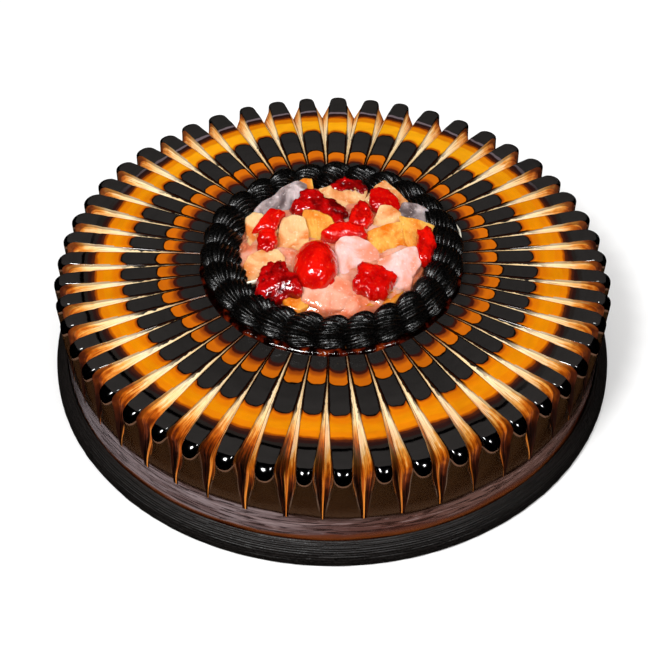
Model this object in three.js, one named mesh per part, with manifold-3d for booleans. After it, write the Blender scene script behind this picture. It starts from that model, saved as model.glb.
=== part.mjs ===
// A round glazed gateau. Its top is combed into ribs that run out over the rim and fade on
// the wall. A ring of piped shells stands on the ribs and holds a heap of glazed fruit, and
// a ridged border runs round the foot.
//
// Millimetres, +Z up, origin at the middle of the underside. Bearings are radians, from the
// front (-Y) towards the right (+X).

import * as THREE from 'three';
import { mergeVertices } from 'three/addons/utils/BufferGeometryUtils.js';
import Module from 'manifold-3d';

const wasm = await Module();
wasm.setup();

// ---- Driving dimensions -------------------------------------------------------------------

const CAKE_TOP = 48; // height of the flat top of the ribs
const RIM_RADIUS = 111.6; // furthest reach of a rib
const WALL_RADIUS = 110.2; // plain wall under the grooves
const GROOVE_END = 21.8; // height where the grooves run out on the wall
const RIB_COUNT = 51;
const RIB_WIDTH_JITTER = 0.08;
const RIB_BEARING_JITTER = 0.005;
const RIB_REACH_JITTER = 0.4;
const COMB_DRIFT = THREE.MathUtils.degToRad(2.3); // the comb strokes bunch up on two sides
const COMB_DRIFT_PHASE = THREE.MathUtils.degToRad(20);
const EDGE_DROP = 2.2; // how far the edge of a rib is rounded down, for each unit of share
const END_ROUNDING = 1.3; // and how much more the corners of its outer end are
const UNCUT_SHARE = 0.05; // share of the pitch that is left for the groove where there is none

const BORDER_RADIUS = 115.7;
const BORDER_HEIGHT = 9.6;
const BORDER_RIDGES = 5;
const BORDER_BASE = 0.8; // plain edge under the ridges
const BORDER_RIDGE_DEPTH = 0.55;
const BORDER_SEGMENTS = 44;
const BORDER_LEDGE = 1.2; // flat ring at the top of the border, against the wall

const SHELL_COUNT = 26;
const SHELL_RING_RADIUS = 45.3; // middle of the piped ring
const SHELL_CENTRE_HEIGHT = 53;
const SHELL_HALF_WIDTH = 7.4;
const SHELL_HALF_HEIGHT = 6.8;
const SHELL_WIDENING = 1.2; // the shells are piped fatter on the left
const SHELL_RIDGES = 6;
const SHELL_RIDGE_DEPTH = 0.16; // share of the shell's half width
const SHELL_SLANT = 0.35; // how far the shells lean over sideways
const SHELL_SWELL = [0.74, 1.0, 1.03, 0.84]; // from the tail of a shell to its head
const SHELL_SIZE_JITTER = 0.05;

const CLEARANCE = 0.3; // between pieces that touch
const FRUIT_FLOOR = CAKE_TOP + CLEARANCE;

// ---- Small helpers ------------------------------------------------------------------------

function seededRandom(seed) {
  let state = seed;
  return () => {
    state = (state * 16807) % 2147483647;
    return state / 2147483647;
  };
}

const spread = (random, amount) => (random() * 2 - 1) * amount;

function polar(radius, bearing, height) {
  return new THREE.Vector3(radius * Math.sin(bearing), -radius * Math.cos(bearing), height);
}

// Moves each vertex of a closed geometry and leaves only its merged positions.
function reshape(geometry, move) {
  geometry.deleteAttribute('normal');
  geometry.deleteAttribute('uv');
  const position = geometry.attributes.position;
  const point = new THREE.Vector3();
  for (let i = 0; i < position.count; i += 1) {
    point.fromBufferAttribute(position, i);
    const moved = move(point, i);
    position.setXYZ(i, moved.x, moved.y, moved.z);
  }
  return mergeVertices(geometry, 1e-3);
}

function toSolid(geometry) {
  return new wasm.Manifold(
    new wasm.Mesh({
      numProp: 3,
      vertProperties: new Float32Array(geometry.attributes.position.array),
      triVerts: new Uint32Array(geometry.index.array),
    }),
  );
}

function toGeometry(solid) {
  const { vertProperties, triVerts } = solid.getMesh();
  const geometry = new THREE.BufferGeometry();
  geometry.setAttribute('position', new THREE.BufferAttribute(vertProperties, 3));
  geometry.setIndex(new THREE.BufferAttribute(triVerts, 1));
  return geometry;
}

function largestPiece(solid) {
  const pieces = solid.decompose();
  return pieces.reduce((best, piece) => (piece.volume() > best.volume() ? piece : best));
}

const material = (color, roughness) =>
  new THREE.MeshStandardMaterial({ color, roughness, metalness: 0 });

const DARK_GLAZE = material(0x241a16, 0.1);
const BLACK_ICING = material(0x1c1a1a, 0.35);
const RED_CHERRY = material(0xd8160c, 0.12);
const DARK_CHERRY = material(0x84101a, 0.15);
const ORANGE_FRUIT = material(0xf0a23c, 0.2);
const PALE_FRUIT = material(0xf3cfa0, 0.25);
const PINK_FRUIT = material(0xf2b8ac, 0.2);
const SMOKY_FRUIT = material(0xc9b8bc, 0.2);

const cake = new THREE.Group();

function add(name, geometry, finish) {
  const mesh = new THREE.Mesh(geometry, finish);
  mesh.name = name;
  cake.add(mesh);
}

// ---- The cake: ribs and grooves -----------------------------------------------------------

// Stations run up the wall, over the rim and in along the top. Each has the radius and
// height of the rib, the radius and height of the valley beside it, and the share of the
// pitch that the groove takes there.
const STATIONS = [
  [WALL_RADIUS, 0, WALL_RADIUS, 0, UNCUT_SHARE],
  [WALL_RADIUS, GROOVE_END, WALL_RADIUS, GROOVE_END, UNCUT_SHARE],
  [RIM_RADIUS - 0.6, 34, 106.6, 33.4, 0.3],
  [RIM_RADIUS, 44.4, 105.4, 38.3, 0.49],
  [RIM_RADIUS - 1.5, 46.9, 104.3, 39.8, 0.5],
  [RIM_RADIUS - 5, CAKE_TOP, 102.2, 41.1, 0.47],
  [97, CAKE_TOP, 96.4, 42.6, 0.36],
  [80, CAKE_TOP, 80, 45.8, 0.19],
  [60, CAKE_TOP, 60, 47.6, 0.06],
];
const RIM_STATIONS = [3, 4];
const EVEN_WIDTH_FROM = 60; // ribs keep an even width towards the rim
const EVEN_WIDTH_BY = 105;

// Across one rib: the valley before it, its near edge, two shoulders and its far edge.
const COLUMNS = 5;
const SHOULDER = 0.7;

function combRibs() {
  const random = seededRandom(51);
  const pitch = (2 * Math.PI) / RIB_COUNT;
  return Array.from({ length: RIB_COUNT }, (_, k) => {
    const even = k * pitch + THREE.MathUtils.degToRad(1.2);
    const drift = COMB_DRIFT * Math.sin(2 * even + COMB_DRIFT_PHASE);
    const stretch = 1 + 2 * COMB_DRIFT * Math.cos(2 * even + COMB_DRIFT_PHASE);
    return {
      bearing: even + drift + spread(random, RIB_BEARING_JITTER),
      pitch: pitch * stretch,
      width: 1 + spread(random, RIB_WIDTH_JITTER),
      reach: spread(random, RIB_REACH_JITTER),
    };
  });
}

function ribHalfAngle(rib, [radius, , , , share]) {
  const even = THREE.MathUtils.smoothstep(radius, EVEN_WIDTH_FROM, EVEN_WIDTH_BY);
  const meanPitch = (2 * Math.PI) / RIB_COUNT;
  const pitch = THREE.MathUtils.lerp(rib.pitch, meanPitch, even);
  const jitter = 1 + (rib.width - 1) * even;
  return Math.min((pitch / 2) * (1 - share) * jitter, (rib.pitch / 2) * (1 - share * 0.5));
}

// Unit vector that points out of the rib's profile at a station.
function outward(j) {
  const [r0, z0] = STATIONS[Math.max(j - 1, 0)];
  const [r1, z1] = STATIONS[Math.min(j + 1, STATIONS.length - 1)];
  return new THREE.Vector2(z1 - z0, r0 - r1).normalize();
}

function cakeBody() {
  const ribs = combRibs();
  const columns = RIB_COUNT * COLUMNS;
  const profile = [
    new THREE.Vector2(0, 0),
    ...STATIONS.map(([radius, height]) => new THREE.Vector2(radius, height)),
    new THREE.Vector2(0, CAKE_TOP),
  ];
  const rows = profile.length;

  function place(point, index) {
    const j = (index % rows) - 1;
    if (j < 0) return polar(0, 0, 0);
    if (j >= STATIONS.length) return polar(0, 0, CAKE_TOP);
    const column = Math.floor(index / rows) % columns;
    const k = Math.floor(column / COLUMNS);
    const rib = ribs[k];
    const station = STATIONS[j];
    const [radius, height, valleyRadius, valleyHeight, share] = station;
    const half = ribHalfAngle(rib, station);
    const reach = radius > EVEN_WIDTH_BY ? rib.reach : 0;
    const role = column % COLUMNS;
    if (role === 0) {
      const before = ribs[(k + RIB_COUNT - 1) % RIB_COUNT];
      const turn = k === 0 ? 2 * Math.PI : 0;
      const from = before.bearing - turn + ribHalfAngle(before, station);
      return polar(valleyRadius, (from + rib.bearing - half) / 2, valleyHeight);
    }
    const side = role < 3 ? -1 : 1;
    const cut = share > UNCUT_SHARE;
    if (role === 2 || role === 3) {
      return polar(radius + (cut ? reach : 0), rib.bearing + side * half * SHOULDER, height);
    }
    const rounding = RIM_STATIONS.includes(j) ? END_ROUNDING : 0;
    const drop = cut ? EDGE_DROP * share + rounding : 0;
    const normal = outward(j);
    return polar(radius - normal.x * drop, rib.bearing + side * half, height - normal.y * drop);
  }

  return reshape(new THREE.LatheGeometry(profile, columns), place);
}

// ---- The border at the foot ---------------------------------------------------------------

function footBorder() {
  const inner = WALL_RADIUS / Math.cos(Math.PI / BORDER_SEGMENTS) + CLEARANCE;
  const steps = BORDER_RIDGES * 2;
  const foot = BORDER_RADIUS - BORDER_RIDGE_DEPTH;
  const profile = [new THREE.Vector2(inner, 0), new THREE.Vector2(foot, 0)];
  for (let i = 0; i <= steps; i += 1) {
    const angle = (i / steps) * (Math.PI / 2);
    const groove = i % 2 === 0 ? BORDER_RIDGE_DEPTH : 0;
    const outer = BORDER_RADIUS - groove - inner - BORDER_LEDGE;
    const rise = BORDER_HEIGHT - groove - BORDER_BASE;
    const radius = inner + BORDER_LEDGE + outer * Math.cos(angle);
    profile.push(new THREE.Vector2(radius, BORDER_BASE + rise * Math.sin(angle)));
  }
  profile.push(new THREE.Vector2(inner, BORDER_HEIGHT - BORDER_RIDGE_DEPTH), profile[0].clone());
  return reshape(new THREE.LatheGeometry(profile, BORDER_SEGMENTS), (point) =>
    new THREE.Vector3(point.x, -point.z, point.y),
  );
}

// ---- The piped ring of shells -------------------------------------------------------------

// Half width of the ring and the radius of its middle at a bearing.
function ringSection(bearing) {
  const left = Math.max(0, -Math.sin(bearing + 0.1));
  const widening = SHELL_WIDENING * left;
  return { half: SHELL_HALF_WIDTH + widening, radius: SHELL_RING_RADIUS - widening };
}

function ringPoint(bearing, across, up) {
  const slanted = bearing + (SHELL_SLANT * across) / SHELL_RING_RADIUS;
  const height = Math.max(SHELL_CENTRE_HEIGHT + up, FRUIT_FLOOR);
  return polar(ringSection(bearing).radius + across, slanted, height);
}

// One shell swells from its tail to a fat head. Its ridges run along it and fan out.
function pipedShell(index, random) {
  const pitch = (2 * Math.PI) / SHELL_COUNT;
  const middle = index * pitch;
  const span = pitch - (CLEARANCE * 1.6) / SHELL_RING_RADIUS;
  const size = 1 + spread(random, SHELL_SIZE_JITTER);
  const slices = SHELL_SWELL.length - 1;
  const around = SHELL_RIDGES * 2;
  const rod = new THREE.CylinderGeometry(1, 1, slices, around, slices);

  return reshape(rod, (point) => {
    const slice = Math.round(point.y + slices / 2);
    const along = slice / slices - 0.5;
    const turn = Math.atan2(point.x, point.z);
    const ridge = Math.round((turn / (2 * Math.PI)) * around) % 2 === 0 ? 1 : 1 - SHELL_RIDGE_DEPTH;
    const reach = Math.hypot(point.x, point.z) * ridge * SHELL_SWELL[slice] * size;
    const bearing = middle + along * span;
    const section = ringSection(bearing);
    return ringPoint(
      bearing,
      reach * section.half * Math.sin(turn),
      reach * SHELL_HALF_HEIGHT * Math.cos(turn),
    );
  });
}

// A plain tube a little fatter than the shells, as its flats lie closer in than its corners.
// The fruit is cut back by it.
function ringCutter() {
  const tube = new THREE.TorusGeometry(SHELL_RING_RADIUS, 1, 8, SHELL_COUNT);
  const fat = 1.14;
  return reshape(tube, (point) => {
    const bearing = Math.atan2(point.x, -point.y);
    const across = Math.hypot(point.x, point.y) - SHELL_RING_RADIUS;
    const section = ringSection(bearing);
    return polar(
      section.radius + across * (section.half * fat + CLEARANCE),
      bearing,
      SHELL_CENTRE_HEIGHT + point.z * (SHELL_HALF_HEIGHT * fat + CLEARANCE),
    );
  });
}

// ---- The fruit ----------------------------------------------------------------------------

// Each piece has its place, its three half sizes, its turn about the vertical in degrees,
// how square it is (0 round, 1 boxy) and its finish. A piece is cut back by those above it
// in the list, so the cherries come first and the pale fruit is fitted round them.
const FRUIT = [
  ['cherry_whole', [-6.6, -16.8, 59.6], [9.2, 11.8, 10.2], 8, 0, RED_CHERRY],
  ['cherry_torn_front', [15.2, -24.6, 59.2], [9.2, 7.4, 5], -12, 0.5, RED_CHERRY],
  ['cherry_dark', [-21, -24.8, 57.8], [10, 8, 6.2], 25, 0.4, DARK_CHERRY],
  ['cherry_half_left', [-25, 10.4, 59.3], [7.8, 5, 3.9], 25, 0.2, RED_CHERRY],
  ['cherry_scrap_left', [-26, -2.2, 59], [4.2, 4.4, 3.2], 0, 0.2, RED_CHERRY],
  ['cherry_cluster', [-6.2, 17.6, 60.6], [12.6, 7.8, 5.4], -22, 0.4, DARK_CHERRY],
  ['cherry_strip', [5.2, 1, 60.8], [9.6, 4.2, 3.2], 8, 0.3, RED_CHERRY],
  ['cherry_lump_mid', [12.4, 14, 60.6], [6, 6.8, 4.6], 0, 0.3, RED_CHERRY],
  ['cherry_half_back', [20.6, 22.6, 59.8], [7.2, 5.2, 4.2], -25, 0.2, RED_CHERRY],
  ['cherry_back', [6.6, 32.6, 59], [8.2, 4, 4], -3, 0.2, DARK_CHERRY],
  ['cherry_right', [34.6, -3.4, 58.6], [4.4, 8.2, 5], -5, 0.2, RED_CHERRY],
  ['orange_segment', [21.4, 1.2, 56.6], [9.8, 8.8, 7], 0, 0.5, ORANGE_FRUIT],
  ['pear_centre_left', [-16.4, -2.4, 56], [8.8, 12.8, 7.6], 6, 0.6, PALE_FRUIT],
  ['lychee_centre', [9.4, -11.6, 56], [10.4, 11.6, 7.4], 0, 0.4, PINK_FRUIT],
  ['lychee_right', [24.4, -16.8, 55], [9.8, 11, 7], -20, 0.4, PINK_FRUIT],
  ['lychee_front', [-1.6, -31, 54.2], [13.6, 8.4, 6], 0, 0.4, PINK_FRUIT],
  ['peach_top_right', [21.6, 13.6, 55.8], [9.8, 7.2, 6.8], 0, 0.5, PALE_FRUIT],
  ['orange_wedge_right', [33.6, 5, 54.6], [6.6, 9.4, 7], 0, 0.5, ORANGE_FRUIT],
  ['peach_under_cluster', [-3.4, 5.2, 54.8], [9.2, 9.6, 6.8], 0, 0.5, ORANGE_FRUIT],
  ['pear_left', [-29.4, 3.6, 54.6], [7.8, 11.8, 6.6], 0, 0.6, PALE_FRUIT],
  ['pear_low_left', [-27.6, -11.8, 53.8], [9.4, 8.4, 6], 0, 0.6, PALE_FRUIT],
  ['lychee_slice_back', [-21.6, 23.6, 54.8], [14, 7, 6.8], 35, 0.4, SMOKY_FRUIT],
  ['peach_back', [5, 25, 55], [12.6, 8.6, 6.6], 0, 0.5, PALE_FRUIT],
  ['peach_curl_back', [-9.4, 32.6, 55.4], [5, 5, 5.8], 0, 0.3, ORANGE_FRUIT],
  ['pear_wedge_back', [22.4, 28.4, 54.8], [9.8, 6.4, 6.4], -35, 0.5, PALE_FRUIT],
  ['lychee_smoky_right', [32.8, 16.6, 54.4], [7.8, 7.6, 6], -30, 0.4, SMOKY_FRUIT],
  ['peach_front_left', [-14.8, -33, 53.6], [7.6, 6.4, 5.4], 0, 0.4, ORANGE_FRUIT],
  ['peach_front_right', [19.6, -29.4, 53.6], [10.6, 7.6, 5.4], 20, 0.4, ORANGE_FRUIT],
];
const FRUIT_BUMPS = 0.09;

function fruitPiece([, at, size, turn, square], grow, random) {
  const seed = random() * 10;
  const power = 1 - 0.45 * square;
  const bearing = THREE.MathUtils.degToRad(turn);
  const soften = (value) => Math.sign(value) * Math.abs(value) ** power;
  return reshape(new THREE.IcosahedronGeometry(1, 1), (point) => {
    const wave = Math.sin(3 * point.x + seed) * Math.cos(2.6 * point.y - 1.7 * point.z + seed);
    const bump = 1 + FRUIT_BUMPS * wave;
    const local = new THREE.Vector3(soften(point.x), soften(point.y), soften(point.z))
      .multiplyScalar(bump)
      .multiply(new THREE.Vector3(size[0] + grow, size[1] + grow, size[2] + grow));
    local.applyAxisAngle(new THREE.Vector3(0, 0, 1), bearing).add(new THREE.Vector3(...at));
    local.z = Math.max(local.z, FRUIT_FLOOR - grow);
    return local;
  });
}

function addFruit() {
  const cutters = [toSolid(ringCutter())];
  for (const [index, piece] of FRUIT.entries()) {
    const [name, , , , , finish] = piece;
    const seed = index + 7;
    let solid = toSolid(fruitPiece(piece, 0, seededRandom(seed)));
    for (const cutter of cutters) solid = solid.subtract(cutter);
    cutters.push(toSolid(fruitPiece(piece, CLEARANCE, seededRandom(seed))));
    add(name, toGeometry(largestPiece(solid)), finish);
  }
}

// ---- Assembly -----------------------------------------------------------------------------

add('cake_body', cakeBody(), DARK_GLAZE);
add('foot_border', footBorder(), BLACK_ICING);
const shellRandom = seededRandom(26);
for (let i = 0; i < SHELL_COUNT; i += 1) {
  const name = `shell_${String(i + 1).padStart(2, '0')}`;
  add(name, pipedShell(i, shellRandom), BLACK_ICING);
}
addFruit();

export default cake;
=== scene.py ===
# %% [markdown]
# # A glazed fruit gateau
#
# This lesson dresses the plain solids of a round gateau. Its top is combed into ribs that run
# over the rim, with black and orange glaze in rings. A ring of piped shells stands on them
# and holds a heap of glazed fruit. The solids come first, and nearly every new piece then
# takes the place of one of them.

# %% Load the plain solids
import math

import bpy
import numpy as np
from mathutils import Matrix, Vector, noise


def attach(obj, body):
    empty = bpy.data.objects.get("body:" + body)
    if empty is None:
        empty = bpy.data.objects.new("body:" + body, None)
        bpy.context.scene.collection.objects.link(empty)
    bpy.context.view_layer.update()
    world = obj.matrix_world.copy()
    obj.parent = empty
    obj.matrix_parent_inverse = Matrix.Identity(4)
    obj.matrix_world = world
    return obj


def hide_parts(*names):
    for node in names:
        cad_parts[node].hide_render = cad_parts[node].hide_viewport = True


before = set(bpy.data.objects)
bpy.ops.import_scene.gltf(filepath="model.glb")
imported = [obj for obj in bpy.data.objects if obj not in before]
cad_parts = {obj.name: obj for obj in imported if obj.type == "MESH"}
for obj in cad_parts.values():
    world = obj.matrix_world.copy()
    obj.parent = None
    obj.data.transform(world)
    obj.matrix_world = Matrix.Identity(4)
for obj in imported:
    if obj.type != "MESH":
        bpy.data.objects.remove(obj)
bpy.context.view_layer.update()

MM = .001
ROOT = "root"

# %% [markdown]
# ## Camera
#
# The view is fixed by where it aims, how far off it stands and how steeply it looks down.
# Those were solved from the rim and the foot of the cake, whose sizes are known.

# %% Camera
VIEW_ELEVATION = math.radians(45.24)
VIEW_DISTANCE = 638.3 * MM
VIEW_AIM = Vector((-3.0, 0, 11.2)) * MM
VIEW_LENS = 84.2


def clear_selection():
    """Operators act on all that is selected, so each step starts with nothing selected."""
    bpy.ops.object.select_all(action="DESELECT")


clear_selection()
stand_off = Vector((0, -math.cos(VIEW_ELEVATION), math.sin(VIEW_ELEVATION))) * VIEW_DISTANCE
bpy.ops.object.camera_add(
    location=VIEW_AIM + stand_off, rotation=(math.pi / 2 - VIEW_ELEVATION, 0, 0)
)
camera = bpy.context.object
camera.data.lens = VIEW_LENS
camera.data.sensor_width = 36
bpy.context.scene.camera = camera
bpy.context.scene.view_settings.view_transform = "Standard"
print("camera at", tuple(round(v, 3) for v in camera.location))

# %% [markdown]
# ## Light and floor
#
# A mirror glaze shows what stands round it. Dark glaze looks dark only if little shines in
# it, so the even light of the room is kept out of reflections, and two round soft boxes give
# the small bright spots on rims, shells and fruit. The floor is plain and pale.

# %% Light and floor
SOFT_BOXES = {  # bearing and height of the lamp in degrees, its radius in mm, its power in watts
    "lamp_left": (-32, 54, 125, 6.0),
    "lamp_right": (36, 50, 80, 2.2),
}
LAMP_DISTANCE = 1.0
ROOM_LIGHT = .68
FLOOR_SIZE = 6.0

world = bpy.data.worlds.new("room")
world.use_nodes = True
background = world.node_tree.nodes["Background"].inputs
background["Color"].default_value = (1, .99, .98, 1)
background["Strength"].default_value = ROOM_LIGHT
world.cycles_visibility.glossy = False
bpy.context.scene.world = world

for name, (bearing, height, radius, power) in SOFT_BOXES.items():
    side = math.radians(bearing)
    up = math.radians(height)
    direction = Vector(
        (math.sin(side) * math.cos(up), -math.cos(side) * math.cos(up), math.sin(up))
    )
    bpy.ops.object.light_add(type="AREA", location=direction * LAMP_DISTANCE)
    lamp = bpy.context.object
    lamp.name = name
    lamp.rotation_euler = direction.to_track_quat("Z", "Y").to_euler()
    lamp.data.shape = "DISK"
    lamp.data.size = radius * 2 * MM
    lamp.data.energy = power
    print(name, "at", tuple(round(v, 2) for v in lamp.location))

clear_selection()
bpy.ops.mesh.primitive_plane_add(size=FLOOR_SIZE, location=(0, 0, -.0002))
floor = bpy.context.object
floor.name = "floor"
floor.visible_glossy = False
paper = bpy.data.materials.new("paper")
paper.use_nodes = True
paper_shader = paper.node_tree.nodes["Principled BSDF"].inputs
paper_shader["Base Color"].default_value = (1, 1, 1, 1)
paper_shader["Roughness"].default_value = 1
floor.data.materials.append(paper)

# %% [markdown]
# ## Words for materials
#
# Glaze, icing and fruit are built from the same few node steps, so each step gets a short
# name here. What comes out of a node is kept as an Output. Plain arithmetic works on it, and
# places a Math node for each step, so that a finish reads like a formula. Colours are given
# as a screen shows them, 0 to 255, and turned into the linear values of a shader.

# %% Outputs and arithmetic
class Output:
    """What comes out of a node. Adding, multiplying and so on place a Math node each."""

    def __init__(self, socket):
        self.socket = socket
        self.tree = socket.id_data

    def __add__(self, other):
        return calc("ADD", self, other)

    def __sub__(self, other):
        return calc("SUBTRACT", self, other)

    def __rsub__(self, other):
        return calc("SUBTRACT", other, self)

    def __mul__(self, other):
        return calc("MULTIPLY", self, other)

    def __truediv__(self, other):
        return calc("DIVIDE", self, other)

    def __neg__(self):
        return self * -1

    __radd__ = __add__
    __rmul__ = __mul__


def wire(source, socket):
    """Joins an output to a socket, or sets a plain value on the socket."""
    if isinstance(source, Output):
        source.tree.links.new(source.socket, socket)
    else:
        socket.default_value = source


def place_node(kind, *sources):
    """A node beside those that its sources come from, with the sources on its first sockets."""
    tree = next(source.tree for source in sources if isinstance(source, Output))
    node = tree.nodes.new("ShaderNode" + kind)
    for source, socket in zip(sources, node.inputs):
        wire(source, socket)
    return node


def calc(operation, *values):
    node = place_node("Math", *values)
    node.operation = operation
    return Output(node.outputs[0])


def rise(value, low, high):
    """0 below low, 1 above high, and a soft climb between them."""
    node = place_node("MapRange", value, low, high, 0, 1)
    node.interpolation_type = "SMOOTHSTEP"
    return Output(node.outputs[0])


def fall(value, low, high):
    """1 below low, 0 above high, and a soft drop between them."""
    return 1 - rise(value, low, high)


def around_nought(cloud_value, swing):
    """A cloud's value, moved to swing about 0 instead of a half."""
    return (cloud_value - .5) * swing

# %% Colours
def srgb(red, green, blue):
    """A colour as a screen shows it, made linear."""
    return tuple((value / 255) ** 2.2 for value in (red, green, blue)) + (1,)


def lay(share, under, over):
    """Lays one colour over another where share is 1."""
    node = place_node("Mix", share)
    node.data_type = "RGBA"
    wire(under, node.inputs[6])
    wire(over, node.inputs[7])
    return Output(node.outputs[2])


def tint(colour, amount):
    """Makes a colour darker or lighter by a factor."""
    node = place_node("VectorMath", colour)
    node.operation = "SCALE"
    wire(amount, node.inputs["Scale"])
    return Output(node.outputs[0])


def ramp(value, *stops):
    """A colour that changes along a value. Stops are (value, colour) from low to high."""
    low = stops[0][0]
    high = stops[-1][0]
    node = place_node("ValToRGB", (value - low) / (high - low))
    elements = node.color_ramp.elements
    while len(elements) < len(stops):
        elements.new(.5)
    for element, (at, colour) in zip(elements, stops):
        element.position = (at - low) / (high - low)
        element.color = colour
    return Output(node.outputs[0])

# %% Places and clouds
def split(vector):
    """The x, y and z of a vector."""
    return [Output(part) for part in place_node("SeparateXYZ", vector).outputs]


def combine(x, y, z=0):
    return Output(place_node("CombineXYZ", x, y, z).outputs[0])


def place_in_mm(tree):
    """The point on the object in millimetres."""
    coordinates = tree.nodes.new("ShaderNodeTexCoord")
    return tint(Output(coordinates.outputs["Object"]), 1 / MM)


def cloud(vector, scale, detail=2, distortion=0):
    """A soft noise from 0 to 1."""
    node = place_node("TexNoise", vector)
    wire(scale, node.inputs["Scale"])
    wire(detail, node.inputs["Detail"])
    wire(distortion, node.inputs["Distortion"])
    return Output(node.outputs[0])

# %% Groups and materials
def paint(shader, colour, relief, depth):
    """Gives a material its colour, and a relief whose 1 is a depth in millimetres."""
    wire(colour, shader["Base Color"])
    bump = relief.tree.nodes.new("ShaderNodeBump")
    wire(depth * MM, bump.inputs["Distance"])
    wire(relief, bump.inputs["Height"])
    wire(Output(bump.outputs[0]), shader["Normal"])


def outputs_of(node):
    """All that comes out of a node, by name."""
    return {socket.name: Output(socket) for socket in node.outputs}


def new_group(name, inputs, outputs):
    """A node group with named sockets: colours where they are given a colour, else numbers."""
    tree = bpy.data.node_groups.new(name, "ShaderNodeTree")
    for way, sockets in (("INPUT", inputs), ("OUTPUT", outputs)):
        for socket, value in sockets.items():
            kind = "NodeSocketColor" if isinstance(value, tuple) else "NodeSocketFloat"
            made = tree.interface.new_socket(socket, in_out=way, socket_type=kind)
            made.default_value = value
    entry = tree.nodes.new("NodeGroupInput")
    result = tree.nodes.new("NodeGroupOutput")
    print("node group:", name)
    return tree, outputs_of(entry), result.inputs


def put_out(sockets, **results):
    """Joins results to the group's own output sockets of the same names."""
    for name, result in results.items():
        wire(result, sockets[name])


def use_group(tree, name, **values):
    """Places a group in a material. An underscore in a socket's name stands for a space."""
    node = tree.nodes.new("ShaderNodeGroup")
    node.node_tree = bpy.data.node_groups[name]
    for socket, source in values.items():
        wire(source, node.inputs[socket.replace("_", " ")])
    return outputs_of(node)


def new_material(name, **settings):
    """A material whose plain numbers sit on the shader's own sockets."""
    material = bpy.data.materials.new(name)
    material.use_nodes = True
    shader = material.node_tree.nodes["Principled BSDF"]
    for socket, value in settings.items():
        wire(value, shader.inputs[socket.replace("_", " ")])
    print("material:", name)
    return material, material.node_tree, shader.inputs

# %% [markdown]
# ## Where on the comb
#
# The glaze changes along each rib and across it. The mesh of the cake carries a UV map named
# Comb, whose u counts ribs: its whole part is the rib, and its fraction runs from one groove
# to the next, with the rib's flat top from a quarter to three quarters. This group turns it
# into a place that is easy to paint by.

# %% Node group: comb place
NOT_NOUGHT = .01  # keeps the very middle of the cake from dividing by 0
COMB_PLACE = ("Radius", "Height", "Phase", "Across", "Valley", "Rib", "Front", "Left", "Count")
tree, inputs, outputs = new_group("Comb place", {}, dict.fromkeys(COMB_PLACE, 0))
x, y, z = split(place_in_mm(tree))
uv = tree.nodes.new("ShaderNodeUVMap")
uv.uv_map = "Comb"
count = split(Output(uv.outputs[0]))[0]
phase = (calc("FRACT", count) - .5) * 4
random_rib = tree.nodes.new("ShaderNodeTexWhiteNoise")
random_rib.noise_dimensions = "1D"
wire(calc("FLOOR", count), random_rib.inputs["W"])
radius = calc("SQRT", x * x + y * y + NOT_NOUGHT)
across = calc("ABSOLUTE", phase)
put_out(
    outputs, Radius=radius, Height=z, Phase=phase, Across=across, Valley=across - 1,
    Rib=Output(random_rib.outputs["Value"]), Front=-y / radius, Left=-x / radius, Count=count,
)


def stretched(comb, **factors):
    """A place for a cloud: some of the comb's values, each times a factor of its own."""
    return combine(*(comb[name] * factor for name, factor in factors.items()))

# %% [markdown]
# ## Finger ends
#
# Each ring of glaze ends on a rib like a finger tip, because the comb drags the middle of a
# stroke furthest. One group gives that edge: 1 inside it and 0 outside.

# %% Node group: finger end
tree, inputs, outputs = new_group(
    "Finger end",
    {"Radius": 0, "Across": 0, "Edge": 80, "Rounding": 2, "Power": 3, "Softness": .3},
    {"Inside": 0},
)
corner = calc("POWER", inputs["Across"], inputs["Power"]) * inputs["Rounding"]
past = (inputs["Radius"] - (inputs["Edge"] - corner)) / inputs["Softness"]
put_out(outputs, Inside=fall(past, -.5, .5))

# %% [markdown]
# ## The banded glaze
#
# Seen from above, the rings run inwards as black, wide orange, black, narrow orange and
# black. They are painted in that order, each one over what lies outside it.

# %% Material: banded glaze
PLATE_END = 109.4
DARK_REFLECTION_EDGE = 100.3
ORANGE_OUTSIDE = 91.1
ORANGE_INSIDE = 85.6
# Charcoal is a painted reflection of grey surroundings in the flat black glaze.
CHARCOAL_REFLECTION = srgb(42, 40, 39)
OUTLINE = srgb(5, 5, 6)
# The first band and the charcoal entries are a painted reflection of grey surroundings on the flat
# black glaze.
GLAZE_BANDS = [  # edge in mm, rounding, softness in mm, colour
    (98.9, .1, .6, srgb(38, 34, 32)),
    (97.4, .1, .8, srgb(44, 26, 24)),
    (95.8, .2, 1.1, srgb(72, 34, 20)),
    (94.7, .3, .8, srgb(156, 72, 10)),
    (93.8, .2, .8, srgb(210, 117, 10)),
    (ORANGE_OUTSIDE, .0, .3, srgb(210, 124, 8)),
    (87.6, 1.2, 2.6, srgb(204, 108, 8)),
    (85.2, 3.2, 1.2, srgb(160, 70, 14)),
    (84.4, 3.5, .5, OUTLINE),
    (83.8, 3.5, .5, CHARCOAL_REFLECTION),
    (70.5, 2.4, .5, OUTLINE),
    (69.9, 2.7, .4, srgb(196, 99, 16)),
    (65.7, 2.6, 2.0, srgb(146, 65, 18)),
    (63.9, 3.1, 1.3, srgb(62, 26, 20)),
    (62.3, 3.4, .9, CHARCOAL_REFLECTION),
]
banded_glaze, tree, shader = new_material(
    "banded_glaze", Roughness=.12, Coat_Weight=1.0, Coat_Roughness=.03, IOR=1.5
)
comb = use_group(tree, "Comb place")
at_front = rise(comb["Front"], 0, .9)
at_right = rise(-comb["Left"], .1, .9)
at_back = rise(-comb["Front"], .3, .9)

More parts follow.
